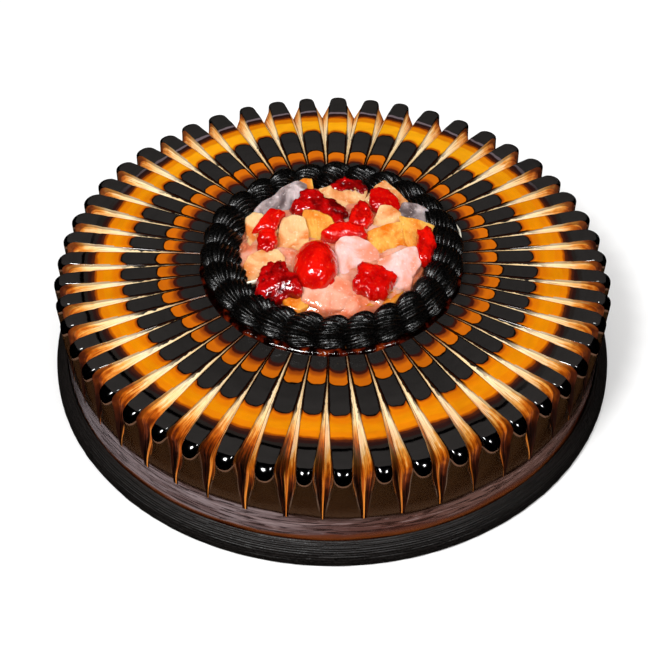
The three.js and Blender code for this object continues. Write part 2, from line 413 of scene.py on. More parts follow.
# The comb wobbled, and drew some of the rings inwards: all such shifts are in mm.
wobble = cloud(stretched(comb, Count=1, Radius=.1), 2.3)
shift = (wobble + comb["Rib"] - 1) * 2.3
drawn_near_ring = fall(comb["Radius"], 72, 80) * at_front * .9
drawn_midway = fall(comb["Radius"], 84, 92) * (at_front * .7 + at_right * 2.6)
painted_radius = comb["Radius"] + shift + (drawn_near_ring + drawn_midway)


def finger(edge, rounding, softness, power=3.4, radius=painted_radius):
    """1 inside a ring's edge, which is drawn furthest in the middle of a rib."""
    return use_group(
        tree, "Finger end", Radius=radius, Across=comb["Across"], Edge=edge,
        Rounding=rounding, Power=power, Softness=softness,
    )["Inside"]


# The rings, from the rim inwards. On the flat middle of each rib's top, charcoal is a painted
# reflection of grey surroundings over the glaze's own black.
middle = fall(comb["Across"], .84, .93)
reflecting_plate = finger(PLATE_END - at_front * 1.4, 1.9, .35, 5.0, comb["Radius"])
colour = lay(reflecting_plate * middle, OUTLINE, CHARCOAL_REFLECTION)
# The black bar at the front and the left is a painted dark reflection in the dip of each rib.
dark_reflection_share = rise(comb["Front"] + comb["Left"] * .5, .1, .5)
colour = lay(finger(DARK_REFLECTION_EDGE, .3, .7) * dark_reflection_share, colour, srgb(9, 8, 8))
for edge, rounding, softness, band_colour in GLAZE_BANDS:
    shown = finger(edge, rounding, softness)
    if band_colour == CHARCOAL_REFLECTION:
        shown = shown * middle
    colour = lay(shown, colour, band_colour)

# At the back the wide orange is painted brighter, as painted light, and a painted highlight lies
# outside it as a pale line.
glow = finger(ORANGE_OUTSIDE, 0, 1.2) * (1 - finger(ORANGE_INSIDE, 2.4, 1.2))
colour = lay(glow * at_back, colour, srgb(236, 158, 20))
painted_sheen = finger(98.6, .1, .5) - finger(97.5, .1, .5)
colour = lay(painted_sheen * at_back * .7, colour, srgb(128, 112, 118))

# The sides of each rib are chipped and dark, and so is all that lies below the rim.
chips = cloud(stretched(comb, Count=1, Radius=.5), 1.0, 3)
worn_across = comb["Across"] + around_nought(chips, .16)
dark_side = rise(worn_across, .8, .88) * fall(comb["Radius"], 81, 86)
colour = lay(dark_side, colour, srgb(9, 6, 5))
colour = lay(rise(worn_across, .9, 1) * .7, colour, srgb(60, 26, 8))
colour = lay(fall(comb["Height"], 46.6, 47.2), colour, OUTLINE)

# No two ribs are equally dark, and painted shade darkens the narrow orange ring at the front.
mottle = cloud(stretched(comb, Count=7, Radius=1), .35, 3)
uneven = mottle * .4 + comb["Rib"] * .14
painted_front_shade = fall(comb["Radius"], 74, 78) * (comb["Front"] * .14 + .02)
colour = tint(colour, .74 + uneven - painted_front_shade)
paint(shader, colour, cloud(place_in_mm(tree), .16, 1), .25)

# %% [markdown]
# ## The grooves
#
# The comb cut through the dark glaze to the cream below. The cream is pale near the middle
# and soaked with caramel towards the rim, and it shows the comb's fine scratches.

# %% Material: groove cream
groove_cream, tree, shader = new_material(
    "groove_cream", Roughness=.42, Specular_IOR_Level=.22, Coat_Weight=.08, Coat_Roughness=.06
)
comb = use_group(tree, "Comb place")
valley = comb["Valley"]
scratch = cloud(stretched(comb, Count=24, Radius=.1, Height=.05), 1.0, 4)
fine_scratch = cloud(stretched(comb, Count=70, Radius=.12, Height=.06), 1.0, 2)
patch = cloud(place_in_mm(tree), .35, 3)

# How far the caramel has soaked in, as the radius at which a plain groove is as brown. On top of that,
# painted shade darkens one flank, most at the front, and painted light makes the grooves at the left
# paler.
at_left = rise(comb["Left"], .1, .7)
front_share = calc("MAXIMUM", comb["Front"], 0) * (1 - at_left * .5)
painted_flank_shade = rise(comb["Phase"], -.1, .1) * (.6 + front_share * 10.6)
below_rim = calc("MAXIMUM", (42 - comb["Height"]) * .55, 0)
soak_and_painted_shading = comb["Radius"] - 4.4 - at_left * 3 + painted_flank_shade + below_rim
soak_and_painted_shading = soak_and_painted_shading + around_nought(scratch, 16) + around_nought(patch, 8)
colour = ramp(
    soak_and_painted_shading,
    (56, srgb(140, 80, 34)), (66, srgb(248, 218, 162)), (80, srgb(255, 236, 200)),
    (91, srgb(252, 214, 150)), (96, srgb(236, 160, 66)), (100, srgb(188, 94, 16)),
    (104, srgb(108, 44, 4)), (108, srgb(38, 14, 2)), (112, srgb(14, 6, 2)),
)
pale_scratch = rise(fine_scratch, .56, .66) * fall(soak_and_painted_shading, 92, 99)
colour = lay(pale_scratch * .7, colour, srgb(255, 240, 206))
colour = lay(fall(fine_scratch, .34, .44) * .5, colour, srgb(120, 50, 8))

# Down the wall a groove is golden at its bottom, and further in it has a dark hairline.
on_wall = fall(comb["Height"], 37, 44)
golden = rise(valley - (.74 + around_nought(scratch, .5)), 0, .14) * on_wall
golden_colour = lay(rise(scratch, .4, .6), srgb(226, 140, 52), srgb(176, 80, 16))
colour = lay(golden, colour, golden_colour)
hairline = rise(valley, .93, .97) * (1 - on_wall)
colour = lay(hairline * .8, colour, srgb(84, 36, 12))

# Towards the ring the comb only scored the glaze: a thin bright line between black flanks.
scored = fall(comb["Radius"], 78, 90)
flank = fall(valley - (.3 + around_nought(patch, 1.1)), 0, .16)
colour = lay(flank * scored, colour, srgb(16, 9, 6))
colour = lay(fall(valley, .03, .13) * .6, colour, srgb(48, 20, 8))
paint(shader, colour, scratch, .35)

# %% [markdown]
# ## The wall
#
# Below the rim the glaze has run down in a sheet. It is brown between the grooves and
# red-brown above the border. Lower down lies a streaky grey and mauve strip, a painted
# reflection of the pale ground below. The strip is widest and palest at the left.

# %% Material: wall glaze
wall_glaze, tree, shader = new_material(
    "wall_glaze", Roughness=.14, Coat_Weight=1.0, Coat_Roughness=.04
)
comb = use_group(tree, "Comb place")
height = comb["Height"]
streak = cloud(stretched(comb, Front=5, Left=5, Height=.34), 1.0, 3, .6)
long_streak = cloud(stretched(comb, Front=7, Left=7, Height=.8), 1.0, 3, 1.2)

# Streaks move the colours up and down: this is the height that each colour is looked up at.
at_left = rise(comb["Left"], -.25, .5)
wavy = height + around_nought(streak, 4.5)
wavy = wavy - rise(wavy, 14, 20) * at_left * 3.5
# Between 13 and 20.8 mm the ramp holds the mauve of the painted reflection.
# The dark line at 21.8 mm is a painted shadow under the glaze between the grooves.
colour = ramp(
    wavy,
    (8.6, srgb(50, 18, 6)), (10, srgb(104, 54, 26)), (11.6, srgb(92, 48, 30)),
    (13, srgb(70, 40, 34)), (14.4, srgb(86, 56, 50)), (18.5, srgb(84, 58, 52)),
    (20.8, srgb(62, 44, 38)), (21.8, srgb(30, 19, 13)), (23, srgb(60, 42, 30)),
    (28, srgb(48, 31, 19)), (42.8, srgb(46, 31, 18)),
)

# The mauve strip is a painted reflection of the pale ground, redder at the right, with dark and pale
# streaks.
reflection_strip = rise(wavy + at_left * 2.5, 12, 14) * fall(wavy, 19.5, 21.5)
reflected_mauve = lay(rise(streak, .35, .65), srgb(136, 122, 124), srgb(92, 76, 76))
reflected_mauve = lay(rise(comb["Left"], .6, .95) * .6, reflected_mauve, srgb(160, 150, 155))
colour = lay(reflection_strip * at_left * .9, colour, reflected_mauve)
at_right = rise(-comb["Left"], .15, .6)
colour = lay(reflection_strip * at_right * .7, colour, srgb(112, 84, 76))
dark_reflection_streak = reflection_strip * rise(long_streak, .5, .62)
colour = lay(dark_reflection_streak * .8, colour, srgb(34, 20, 16))
pale_reflection_streak = reflection_strip * fall(long_streak, .34, .4)
colour = lay(pale_reflection_streak * .5, colour, srgb(150, 130, 128))


def hanging_edge(lowest, rounding, softness):
    """1 above an edge that hangs lowest in the middle of a rib."""
    return use_group(
        tree, "Finger end", Radius=-height, Across=comb["Across"],
        Edge=-lowest, Rounding=rounding, Power=2.4, Softness=softness,
    )["Inside"]


# Painted highlights: pale lines beside the grooves, and a pale crescent under the black cap of each
# rib.
highlight_beside_groove = rise(comb["Across"], .9, .95) * rise(height, 25, 31) * comb["Rib"] * .5
colour = lay(highlight_beside_groove, colour, srgb(136, 112, 96))
cap = hanging_edge(42.5, 2.9, .3)
highlight_crescent = hanging_edge(41.6, 2.6, .9) - cap
colour = lay(highlight_crescent * .6, colour, srgb(120, 88, 70))
colour = lay(cap, colour, OUTLINE)
paint(shader, colour, cloud(place_in_mm(tree), .14), .5)

# %% [markdown]
# ## The cake
#
# A comb leaves the same cut 51 times, each a little different. A flat grid is a good start:
# its columns become the lines across a rib and its groove, its rows the lines that run up
# the wall, over the rim and in along the top. The grid is then wrapped round, and its seam
# and its two ends are merged.

# %% Sizes of the cake
CAKE_TOP = 48
RIM_RADIUS = 111.6
WALL_RADIUS = 110.2
GROOVE_END = 21.8
RIB_COUNT = 51
FIRST_RIB = math.radians(1.2)
RIB_WIDTH_JITTER = .08
RIB_BEARING_JITTER = .005
RIB_REACH_JITTER = .4
COMB_DRIFT = math.radians(2.3)
COMB_DRIFT_PHASE = math.radians(20)
EDGE_DROP = 1.9
END_DROP = .5
EDGE_FROM = .72  # share of the half rib where its edge starts to round
UNCUT_SHARE = .05
EVEN_WIDTH_FROM = 60
EVEN_WIDTH_BY = 105
STATIONS = np.array([  # rib radius and height, valley radius and height, share of the groove
    (WALL_RADIUS, 0, WALL_RADIUS, 0, UNCUT_SHARE),
    (WALL_RADIUS, GROOVE_END, WALL_RADIUS, GROOVE_END, UNCUT_SHARE),
    (RIM_RADIUS - .6, 34, 106.6, 33.4, .28),
    (RIM_RADIUS, 44.4, 105.4, 38.3, .43),
    (RIM_RADIUS - 1.5, 46.9, 104.3, 39.8, .43),
    (RIM_RADIUS - 5, CAKE_TOP, 102.2, 41.1, .41),
    (97, CAKE_TOP, 96.4, 42.6, .33),
    (80, CAKE_TOP, 80, 45.8, .19),
    (60, CAKE_TOP, 60, 47.6, .06),
    (52, CAKE_TOP, 52, 47.7, .05),
    (44, CAKE_TOP, 44, 47.8, .05),
])
ROWS_PER_SPAN = [8, 8, 8, 7, 8, 9, 10, 9, 3, 2]
GROOVE_STEPS = [0, .1, .3, .52, .76]
RIB_PHASES = [-1, -.96, -.88, -.78, -.64, -.46, -.24, 0, .24, .46, .64, .78, .88, .96]
PLAN_ROUNDING = 3.9
PLAN_POWER = 2.3
PLAN_BLUNTNESS = .01
# The black bar over this dip is a painted dark reflection.
BAR_RADIUS = 97.4  # each rib dips a little here, under the black bar
BAR_DIP = .22
REACH_RADII = (104, 108)  # between these radii the ribs come to differ in reach
END_RADII = (100, 107)  # and between these their ends begin
END_HEIGHTS = (43, 46)
ROUND_RADII = (101, 110)  # and between these the ends become round in plan
ROUND_HEIGHTS = (26, 40)
WALL_WAVE = .22
WALL_TOP = 44.6
WALL_INSIDE = 60  # faces further in belong to the top or the underside
# The cream lap is partly the cream itself and partly a painted highlight along the rib's edge that
# faces the front.
CREAM_AND_HIGHLIGHT_LIP = .035  # how far the cream laps onto a rib, as a share of its pitch
LEFT_TURN = .1  # the left side is fullest this far, in radians, behind the very left
print("stations from the foot to the middle:", len(STATIONS))

# %% Chance, places and curves
def seeded_random(seed):
    """The same small random source that the solids were made with."""
    state = seed
    while True:
        state = state * 16807 % 2147483647
        yield state / 2147483647


def spread(source, amount):
    """A random number from -amount to amount."""
    return (next(source) * 2 - 1) * amount


def smooth(value, low, high):
    t = np.clip((value - low) / (high - low), 0, 1)
    return t * t * (3 - 2 * t)


def polar(radius, bearing, height):
    """Points from radius, bearing and height. Bearing 0 is the front, and right is positive."""
    return np.stack([radius * np.sin(bearing), -radius * np.cos(bearing), height + 0 * radius], -1)


def leftness(bearing):
    """1 at the left of the cake, and 0 from the front round the right to the back."""
    return np.maximum(0, -np.sin(bearing + LEFT_TURN))


def glide(values, at):
    """A smooth curve through values at 0, 1, 2... that never overshoots them."""
    steps = np.diff(values, axis=0)
    both = steps[:-1] * steps[1:]
    total = steps[:-1] + steps[1:]
    inner = np.where(both > 0, 2 * both / np.where(total == 0, 1, total), 0)
    slopes = np.concatenate([steps[:1], inner, steps[-1:]])
    index = np.clip(at.astype(int), 0, len(values) - 2)
    t = (at - index)[:, None]
    start, end = values[index], values[index + 1]
    bend = slopes[index] * t * (1 - t) ** 2 - slopes[index + 1] * t * t * (1 - t)
    return start + (end - start) * t * t * (3 - 2 * t) + bend

# %% The ribs: bearing, pitch, width and reach of each
comb_random = seeded_random(51)
mean_pitch = 2 * math.pi / RIB_COUNT
ribs = []
for k in range(RIB_COUNT):
    even = k * mean_pitch + FIRST_RIB
    drift = COMB_DRIFT * math.sin(2 * even + COMB_DRIFT_PHASE)
    stretch = 1 + 2 * COMB_DRIFT * math.cos(2 * even + COMB_DRIFT_PHASE)
    bearing = even + drift + spread(comb_random, RIB_BEARING_JITTER)
    width = 1 + spread(comb_random, RIB_WIDTH_JITTER)
    ribs.append((bearing, mean_pitch * stretch, width, spread(comb_random, RIB_REACH_JITTER)))
ribs = np.array(ribs)
print("ribs:", len(ribs), "first at", round(math.degrees(ribs[0, 0]), 2), "degrees")

# %% Helpers for pieces
def select_only(piece):
    """Selects one object and makes it the active one."""
    clear_selection()
    piece.select_set(True)
    bpy.context.view_layer.objects.active = piece


def copy_of(piece):
    """A copy with its own mesh, which is then the only one selected."""
    select_only(piece)
    bpy.ops.object.duplicate()
    return bpy.context.object


def finish_piece(name, materials, slot, *nodes, angle=40):
    """Smooths the object that was just shaped, gives it its materials, and hands it over."""
    piece = bpy.context.object
    piece.name = name
    piece.data.name = name
    for material in materials:
        piece.data.materials.append(material)
    select_only(piece)
    bpy.ops.object.shade_smooth_by_angle(angle=math.radians(angle))
    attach(piece, ROOT)
    if nodes:
        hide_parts(*nodes)
    return piece


def merge_doubles(distance):
    """Merges points that lie this close, in millimetres, and turns every face outwards."""
    bpy.ops.object.mode_set(mode="EDIT")
    bpy.ops.mesh.select_all(action="SELECT")
    bpy.ops.mesh.remove_doubles(threshold=distance * MM)
    bpy.ops.mesh.normals_make_consistent(inside=False)
    bpy.ops.object.mode_set(mode="OBJECT")


def read_points(mesh):
    points = np.empty(len(mesh.vertices) * 3)
    mesh.vertices.foreach_get("co", points)
    return points.reshape(-1, 3)


def write_points(mesh, points):
    """Moves the mesh's points to places in millimetres."""
    mesh.vertices.foreach_set("co", np.asarray(points, float).ravel() * MM)
    mesh.update()

# %% A flat grid for the comb
columns_per_rib = len(GROOVE_STEPS) * 2 + len(RIB_PHASES)
column_count = columns_per_rib * RIB_COUNT
row_at = np.concatenate(
    [index + np.arange(count) / count for index, count in enumerate(ROWS_PER_SPAN)]
    + [[len(STATIONS) - 1]]
)
rows = glide(STATIONS, row_at)
row_count = len(rows) + 1
clear_selection()
bpy.ops.mesh.primitive_grid_add(x_subdivisions=column_count, y_subdivisions=row_count, size=2)
cake = bpy.context.object
flat = read_points(cake.data)
column = np.rint((flat[:, 0] + 1) / 2 * column_count).astype(int)
row = np.rint((flat[:, 1] + 1) / 2 * row_count).astype(int) - 1  # -1 is the underside
print("grid:", column_count, "by", row_count)

# %% Where each point of the grid lies: its rib, and how far across it
groove_in = np.array(GROOVE_STEPS)
fractions = np.concatenate([
    groove_in * .25,
    .5 + np.array(RIB_PHASES) * .25,
    .75 + np.array([0] + [1 - step for step in reversed(GROOVE_STEPS[1:])]) * .25,
])
rib_of = column // columns_per_rib
fraction = fractions[column % columns_per_rib]
safe_row = np.clip(row, 0, len(rows) - 1)
radius, height, valley_radius, valley_height, share = rows[safe_row].T


def half_angle(rib_index):
    """Half of a rib's flat top, as an angle, at each point's own radius."""
    rib = ribs[rib_index % RIB_COUNT]
    even = smooth(radius, EVEN_WIDTH_FROM, EVEN_WIDTH_BY)
    pitch = rib[:, 1] + (mean_pitch - rib[:, 1]) * even
    jitter = 1 + (rib[:, 2] - 1) * even
    return np.minimum(pitch / 2 * (1 - share) * jitter, rib[:, 1] / 2 * (1 - share * .5))


def middle_of(rib_index):
    return ribs[rib_index % RIB_COUNT, 0] + rib_index // RIB_COUNT * 2 * math.pi


half = half_angle(rib_of)
middle_bearing = middle_of(rib_of)
valley_before = (middle_of(rib_of - 1) + half_angle(rib_of - 1) + middle_bearing - half) / 2
valley_after = (middle_of(rib_of + 1) - half_angle(rib_of + 1) + middle_bearing + half) / 2
phase = np.clip((fraction - .5) * 4, -1, 1)
across = np.abs(phase)
depth = np.clip(np.abs(fraction - .5) * 4 - 1, 0, 1)  # 0 on the rib, 1 at the groove's bottom
bearing = middle_bearing + phase * half
valley_bearing = np.where(fraction < .5, valley_before, valley_after)
bearing = bearing + (valley_bearing - bearing) * depth
print("widest groove:", round(share.max(), 2), "of a rib's pitch")

# %% The rib's own profile: rounded edges, and an outer end that is round in plan
cut = smooth(share, UNCUT_SHARE, UNCUT_SHARE + .1)
reach = ribs[rib_of % RIB_COUNT, 3] * smooth(radius, *REACH_RADII) * cut
at_end = smooth(height, *END_HEIGHTS) * smooth(radius, *END_RADII)
edge = np.clip((across - EDGE_FROM) / (1 - EDGE_FROM), 0, 1) ** 2
drop = (EDGE_DROP * share + END_DROP * at_end) * edge * cut
slope = np.gradient(rows[:, :2], axis=0)
lean = np.stack([slope[:, 1], -slope[:, 0]], -1)
lean = lean / np.linalg.norm(lean, axis=1)[:, None]
rib_radius = radius + reach - lean[safe_row, 0] * drop
round_end = 1 - np.sqrt(np.clip(1 - across ** PLAN_POWER, 0, 1) + PLAN_BLUNTNESS)
on_rim = smooth(radius, *ROUND_RADII) * smooth(height, *ROUND_HEIGHTS)
rib_radius = rib_radius - PLAN_ROUNDING * round_end * on_rim
rib_height = height - lean[safe_row, 1] * drop
rib_height = rib_height - BAR_DIP * np.exp(-(radius - BAR_RADIUS) ** 2) * (1 - depth)
final_radius = rib_radius + (valley_radius - rib_radius) * depth
final_height = rib_height + (valley_height - rib_height) * depth

# Where the comb didn't reach, the wall is wavy.
wave = np.sin(bearing * 9 + 1.3) * np.sin(final_height * .33 + np.sin(bearing * 5))
uncombed = smooth(-final_height, -21, -17) * smooth(final_height, 2, 9)
final_radius = final_radius + WALL_WAVE * wave * uncombed
bottom = row < 0
middle_top = row >= len(rows) - 1
final_radius = np.where(bottom | middle_top, 0, final_radius)
final_height = np.where(bottom, 0, final_height)
write_points(cake.data, polar(final_radius, bearing, final_height))
print("cake top at", round(final_height.max(), 2), "mm, radius", round(final_radius.max(), 2), "mm")

# %% The comb map and the three glazes
comb_map = cake.data.uv_layers[0]
comb_map.name = "Comb"
corner_vertex = np.empty(len(cake.data.loops), int)
cake.data.loops.foreach_get("vertex_index", corner_vertex)
count_at = rib_of + fraction
map_values = np.stack([count_at[corner_vertex], row[corner_vertex] / row_count], -1)
comb_map.data.foreach_set("uv", map_values.ravel())

# Each face is a rib's top, a groove or the wall, told by where its corners lie.
face_start = np.empty(len(cake.data.polygons), int)
cake.data.polygons.foreach_get("loop_start", face_start)
face_corners = corner_vertex[face_start[:, None] + np.arange(4)]
face_fraction = count_at[face_corners].mean(1) % 1
face_height = final_height[face_corners].mean(1)
face_radius = final_radius[face_corners].mean(1)
face_bearing = bearing[face_corners].mean(1)
# On the side of each rib that faces the front, the cream laps onto its rounded edge: partly the cream
# itself, partly a painted highlight.
facing_front = np.maximum(0, -np.sin(face_bearing) * np.sign(face_fraction - .5))
cream_and_highlight_lip = CREAM_AND_HIGHLIGHT_LIP * facing_front * smooth(face_radius, 84, 92)
is_groove = (np.abs(face_fraction - .5) > .25 - cream_and_highlight_lip) & (face_height > GROOVE_END)
is_wall = (face_height < WALL_TOP) & (face_radius > WALL_INSIDE)
RIB_TOP, GROOVE, WALL = range(3)  # the cake's materials, in the order that it gets them
kinds = np.select([is_groove, is_wall], [GROOVE, WALL], RIB_TOP)
cake.data.polygons.foreach_set("material_index", kinds.astype(int))
merge_doubles(.01)
cake = finish_piece(
    "cake_glazed", [banded_glaze, groove_cream, wall_glaze], "dark_glaze", "cake_body"
)
print("cake faces:", len(cake.data.polygons))

# %% [markdown]
# ## Black icing
#
# The border and the shells are piped from black icing. It is soft and a little glossy, duller
# on the border, and its sheen breaks up along the ridges that the star nozzle leaves.

# %% Materials: black icing
ICING_FINISHES = {  # dark and light of the crumb, roughness of each, coat
    "shell_icing": (srgb(8, 8, 8), srgb(18, 17, 16), .19, .32, .05),
    "border_icing": (srgb(11, 9, 8), srgb(30, 24, 21), .4, .6, .0),
}
icing = {}
for name, (dark, light, smoothest, roughest, coat) in ICING_FINISHES.items():
    material, tree, shader = new_material(name, Coat_Weight=coat, Coat_Roughness=.08)
    crumb = cloud(place_in_mm(tree), 1.6, 4)
    grainy = rise(crumb, .35, .65)
    wire(smoothest + grainy * (roughest - smoothest), shader["Roughness"])
    paint(shader, lay(grainy, dark, light), crumb, .14)
    icing[name] = material

# %% [markdown]
# ## The border at the foot
#
# A ring is quickest as a torus, which is closed and has no seam. Its round section is then
# pressed into the border's own: upright against the wall, level on the floor, and a convex
# face with fine ridges between.

# %% A ring to press into shape
RING_SECTION = .1


def new_ring(around, across):
    """A thin ring, the bearing of its points, and where on its section they lie, out and up."""
    clear_selection()
    bpy.ops.mesh.primitive_torus_add(
        major_segments=around, minor_segments=across, major_radius=1, minor_radius=RING_SECTION
    )
    ring = bpy.context.object
    x, y, z = read_points(ring.data).T
    out = (np.hypot(x, y) - 1) / RING_SECTION
    return ring, np.arctan2(x, -y), out, z / RING_SECTION

# %% Foot border
BORDER_RADIUS = 115.7
BORDER_HEIGHT = 9.6
BORDER_BASE = .8
BORDER_LEDGE = 1.2
BORDER_RIDGES = 10
BORDER_RIDGE_DEPTH = .34
BORDER_INNER = WALL_RADIUS - .6
BORDER_WANDER = [(.35, 7, 0), (.3, 11, 2), (.2, 23, 1)]  # waves: size, number round, start
border, bearing, out, up = new_ring(288, 88)
turn = np.arctan2(up, out)
around = (turn + math.pi) / (2 * math.pi)  # 0 inside, 1/4 below, 1/2 outside, 3/4 above
face = np.clip((around - .25) / .5, 0, 1)
climb = face * math.pi / 2
wander = sum(size * np.sin(bearing * number + start) for size, number, start in BORDER_WANDER)
ridge = np.abs(np.cos(math.pi * (BORDER_RIDGES * face + wander * .25))) ** .7
ridge_depth = BORDER_RIDGE_DEPTH * (1 - ridge) * np.clip(face * 12, 0, 1)
foot_depth = BORDER_RADIUS - BORDER_INNER - BORDER_LEDGE
face_radius = BORDER_INNER + BORDER_LEDGE + (foot_depth - ridge_depth) * np.cos(climb) ** .8
face_height = BORDER_BASE + (BORDER_HEIGHT - BORDER_BASE - ridge_depth) * np.sin(climb) ** .9
below = np.clip(around / .25, 0, 1)
floor_radius = BORDER_INNER + (BORDER_RADIUS - .5 - BORDER_INNER) * below
above = np.clip((around - .75) / .25, 0, 1)
back_radius = BORDER_INNER + BORDER_LEDGE * (1 - above)
parts = [around < .25, around > .75]
radius = np.select(parts, [floor_radius, back_radius], face_radius)
height = np.select(parts, [0, BORDER_HEIGHT * (1 - above)], face_height)
write_points(border.data, polar(radius, bearing, height))
merge_doubles(.01)
border = finish_piece(
    "border_piped", [icing["border_icing"]], "black_icing", "foot_border", angle=60
)
print("border faces:", len(border.data.polygons))

# %% [markdown]
# ## The piped ring
#
# Each shell is squeezed out fat at the inside of the ring and drawn along it to a thin tail,
# so its ridges are arches that fan out between two low ends. On a ball, such an arch is the
# circle that a plane through both ends cuts out. Turning the plane about the line between the
# ends gives one ridge after another.

# %% The form of a shell
SHELL_COUNT = 26
SHELL_RING_RADIUS = 45.3
SHELL_CENTRE_HEIGHT = 53
SHELL_HALF_WIDTH = 7.4
SHELL_HALF_HEIGHT = 6.8
SHELL_HALF_LENGTH = .74  # of the step from one shell to the next
SHELL_WIDENING = 1.2
SHELL_SLANT = .35
SHELL_SIZE_JITTER = .05
SHELL_RIDGES = 42
SHELL_RIDGE_DEPTH = .19
SHELL_SEGMENTS = SHELL_RIDGES * 4
SHELL_RINGS = 22
SHELL_FLOOR = CAKE_TOP + .1
HEAD_END = Vector((-.42, -.12, -.9)).normalized()  # along the ring, outwards, up
TAIL_END = Vector((.92, .22, -.32)).normalized()
shell_pitch = 2 * math.pi / SHELL_COUNT


def arched_ball(unit):
    """Moves the lines between a ball's poles, which lie along x, onto arches between two ends."""
    chord = (TAIL_END - HEAD_END) / 2
    middle = (TAIL_END + HEAD_END) / 2
    along_chord = np.array(chord.normalized())
    to_middle = np.array(middle.normalized())
    turn = np.arctan2(unit[:, 1], unit[:, 2])
    share = np.arccos(np.clip(unit[:, 0], -1, 1)) / math.pi * 2 - 1
    side = np.outer(np.cos(turn), to_middle) + np.outer(np.sin(turn), np.cross(along_chord, to_middle))
    beyond = middle.length * np.cos(turn)
    centre = np.array(middle) - beyond[:, None] * side
    arch_radius = np.sqrt(1 - (centre ** 2).sum(1))
    angle = np.arctan2(chord.length, beyond) * share
    swing = np.cos(angle)[:, None] * side + np.outer(np.sin(angle), along_chord)
    return centre + arch_radius[:, None] * swing, turn, share


def shell_points(arches, turn, share, index, size):
    """Bends the arched ball into one shell of the ring."""
    sway = .5 * np.sin(share * 2.4 + turn * 3 + index * 2.1) + .4 * np.sin(turn * 7 + index)
    phase = turn * SHELL_RIDGES / 2 + math.pi / 4 + sway
    comb_line = np.abs(np.cos(phase)) ** .8
    at_end = smooth(np.abs(share), .8, 1)
    ridged = 1 - SHELL_RIDGE_DEPTH * (1 - comb_line) * (1 - at_end)
    along, sideways, upwards = (arches * ridged[:, None] * size).T
    left = leftness(index * shell_pitch)
    sideways = sideways * (SHELL_HALF_WIDTH + SHELL_WIDENING * left)
    upwards = upwards * SHELL_HALF_HEIGHT - 1.3 * np.clip(along, 0, 1) ** 2
    bearing = (index + along * SHELL_HALF_LENGTH) * shell_pitch
    slanted = bearing - SHELL_SLANT * sideways / SHELL_RING_RADIUS
    ring = SHELL_RING_RADIUS - SHELL_WIDENING * left + sideways
    return polar(ring, slanted, np.maximum(SHELL_CENTRE_HEIGHT + upwards, SHELL_FLOOR))

# %% The ring of shells
shell_random = seeded_random(26)
clear_selection()
bpy.ops.mesh.primitive_uv_sphere_add(segments=SHELL_SEGMENTS, ring_count=SHELL_RINGS, radius=1)
globe = bpy.context.object
bpy.ops.object.mode_set(mode="EDIT")
bpy.ops.mesh.select_all(action="SELECT")
bpy.ops.transform.rotate(value=math.pi / 2, orient_axis="Y", center_override=(0, 0, 0))
bpy.ops.object.mode_set(mode="OBJECT")
arches, turn, share = arched_ball(read_points(globe.data))
for index in range(SHELL_COUNT):
    shell = copy_of(globe)
    size = 1 + spread(shell_random, SHELL_SIZE_JITTER)
    write_points(shell.data, shell_points(arches, turn, share, index, size))
    merge_doubles(.002)
    node = f"shell_{index + 1:02d}"
    finish_piece("piped_" + node, [icing["shell_icing"]], "black_icing", node, angle=80)
bpy.data.objects.remove(globe)
print("shells:", SHELL_COUNT)

# %% [markdown]
# ## Glaze at the foot of the ring
#
# The glaze that ran off the fruit has gathered round the ring. It is thin, clear and
# red-brown, fullest at the front and on the left.

# %% Material: pooled glaze
pooled_glaze, tree, shader = new_material(
    "pooled_glaze", Roughness=.05, Coat_Weight=1.0, Coat_Roughness=.02
)
vector = place_in_mm(tree)
colour = ramp(
    cloud(vector, .24),
    (.3, srgb(8, 4, 3)), (.5, srgb(20, 8, 6)), (.62, srgb(80, 24, 12)), (.78, srgb(150, 62, 18)),
)
paint(shader, colour, cloud(vector, .9), .3)

# %% Glaze pool
POOL_RADIUS = 51.4
POOL_WIDTH = 2.0
POOL_HEIGHT = 1.6
pool, bearing, out, up = new_ring(240, 20)
lobes = .5 + .5 * np.sin(bearing * 26 + 1.2) * (.6 + .4 * np.sin(bearing * 7))
fullness = .55 + .3 * np.cos(bearing + .5) + .35 * lobes
radius = POOL_RADIUS + out * POOL_WIDTH * fullness + leftness(bearing) * .3
height = CAKE_TOP - .15 + up * POOL_HEIGHT * (.4 + .6 * fullness)
write_points(pool.data, polar(radius, bearing, np.maximum(height, CAKE_TOP - .6)))
merge_doubles(.002)
pool = finish_piece("glaze_pool", [pooled_glaze], "dark_glaze", angle=80)
print("pool faces:", len(pool.data.polygons))

# %% [markdown]
# ## Fruit flesh
#
# Tinned fruit lets light in: it glows where it is thin, and its colour drifts through the
# piece, deepest low down in the syrup. Down in its folds the flesh is painted deeper and
# darker, as painted shade. One group gives that drift and that shade, with fine fibres and
# specks, and each kind of fruit has its own colours.

# %% Node group: fruit flesh
PEACH = srgb(240, 160, 60)
tree, inputs, outputs = new_group(
    "Fruit flesh",
    {"Pale": PEACH, "Deep": PEACH, "Speck": PEACH, "Drift": .12, "Specks": .3, "Fibre": .5},
    {"Colour": PEACH, "Relief": 0},
)
vector = place_in_mm(tree)
x, y, z = split(vector)
low_down = fall(z, 52, 61) * .8
deep_share = rise(cloud(vector, inputs["Drift"], 3, .6), .36, .68) + low_down
body = lay(calc("MINIMUM", deep_share, 1), inputs["Pale"], inputs["Deep"])
fibres = cloud(combine(x * 1.6, y * .3, z), .9, 3)
body = lay(rise(fibres, .45, .75) * inputs["Fibre"] * .5, body, inputs["Deep"])
dots = rise(cloud(vector, .8, 2), .6, .72)
body = lay(dots * inputs["Specks"], body, inputs["Speck"])
